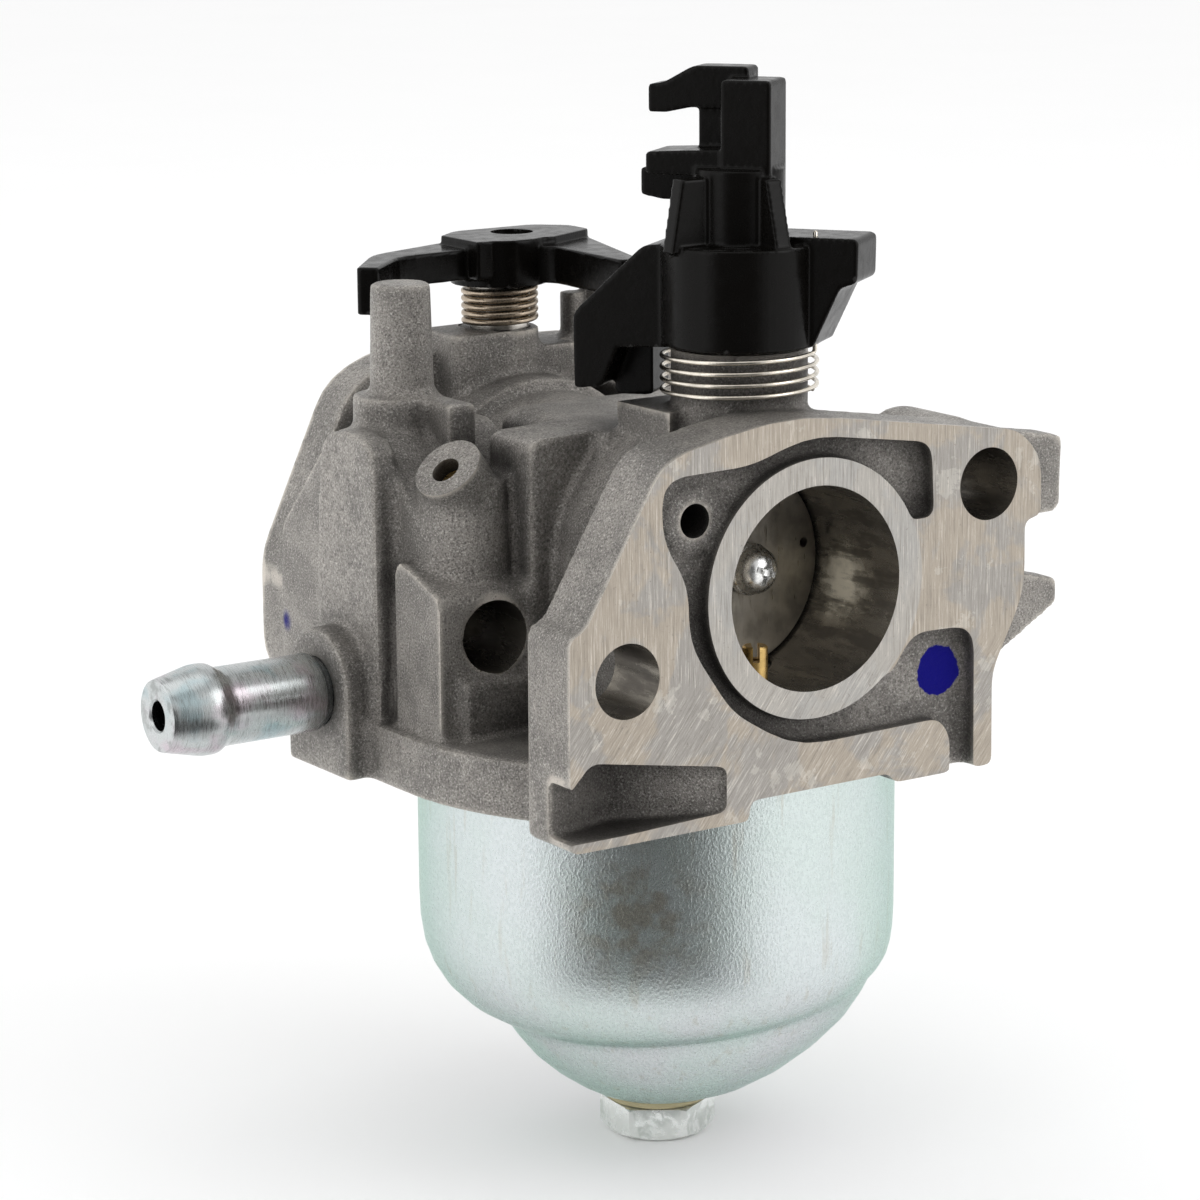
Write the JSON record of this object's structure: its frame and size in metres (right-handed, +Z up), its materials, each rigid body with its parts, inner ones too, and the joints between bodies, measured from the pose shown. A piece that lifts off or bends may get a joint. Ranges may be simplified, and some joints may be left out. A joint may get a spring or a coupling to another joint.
{
  "type": "float bowl carburetor",
  "caption": "Small-engine float-bowl carburetor with choke and throttle butterflies, black plastic levers, fuel hose pipe and pressed float bowl.",
  "frame": {"origin": "centre of the bowl bolt's lower end face, on the vertical axis of the float bowl", "axes": "+Y along the air flow, from the air-cleaner flange to the engine flange; +Z up, out of the bowl bolt towards the bore; +X to the right looking along the air flow"},
  "size_m": [0.0799, 0.0598, 0.1075],
  "materials": {
    "cast_metal": "satin",
    "zinc_plate": "satin",
    "black_rubber": "matte",
    "brass": "satin",
    "bright_steel": "polished",
    "plate_metal": "satin",
    "black_plastic": "satin",
    "float_plastic": "matte"
  },
  "bodies": {
    "body": {"carburetor_body": "cast_metal", "fuel_inlet_pipe": "zinc_plate", "float_bowl": "zinc_plate", "bowl_gasket": "black_rubber", "bowl_bolt": "zinc_plate", "bowl_bolt_washer": "black_rubber", "main_nozzle": "brass", "main_jet": "brass", "pilot_jet": "brass", "needle_seat": "brass", "float_hinge_pin": "bright_steel", "mixture_screw": "brass", "air_bleed_jet": "brass", "choke_shaft_seal": "black_rubber", "choke_return_spring": "bright_steel", "throttle_return_spring": "bright_steel"},
    "choke": {"choke_shaft": "bright_steel", "choke_plate": "plate_metal", "choke_plate_screw": "bright_steel", "choke_lever": "black_plastic"},
    "throttle": {"throttle_shaft": "bright_steel", "throttle_plate": "plate_metal", "throttle_plate_screw": "bright_steel", "throttle_lever": "black_plastic"},
    "float": {"float": "float_plastic"},
    "needle": {"inlet_needle": "bright_steel"}
  },
  "joints": [
    {"name": "choke_hinge", "type": "hinge", "parent": "body", "child": "choke", "pos_m": [0, -0.0141, 0.0603], "axis": [0, 0, 1], "range_deg": [-8, 67]},
    {"name": "throttle_hinge", "type": "hinge", "parent": "body", "child": "throttle", "pos_m": [0, 0.0278, 0.0603], "axis": [0, 0, -1], "range_deg": [0, 75]},
    {"name": "float_hinge", "type": "hinge", "parent": "body", "child": "float", "pos_m": [0, 0.019, 0.0378], "axis": [1, 0, 0], "range_deg": [0, 7]},
    {"name": "needle_slide", "type": "slide", "parent": "body", "child": "needle", "axis": [0, 0, -1], "range_m": [0, 0.0008]}
  ],
  "couplings": [
    {"joint": "needle_slide", "follows": "float_hinge", "m_per_rad": 0.0061}
  ]
}
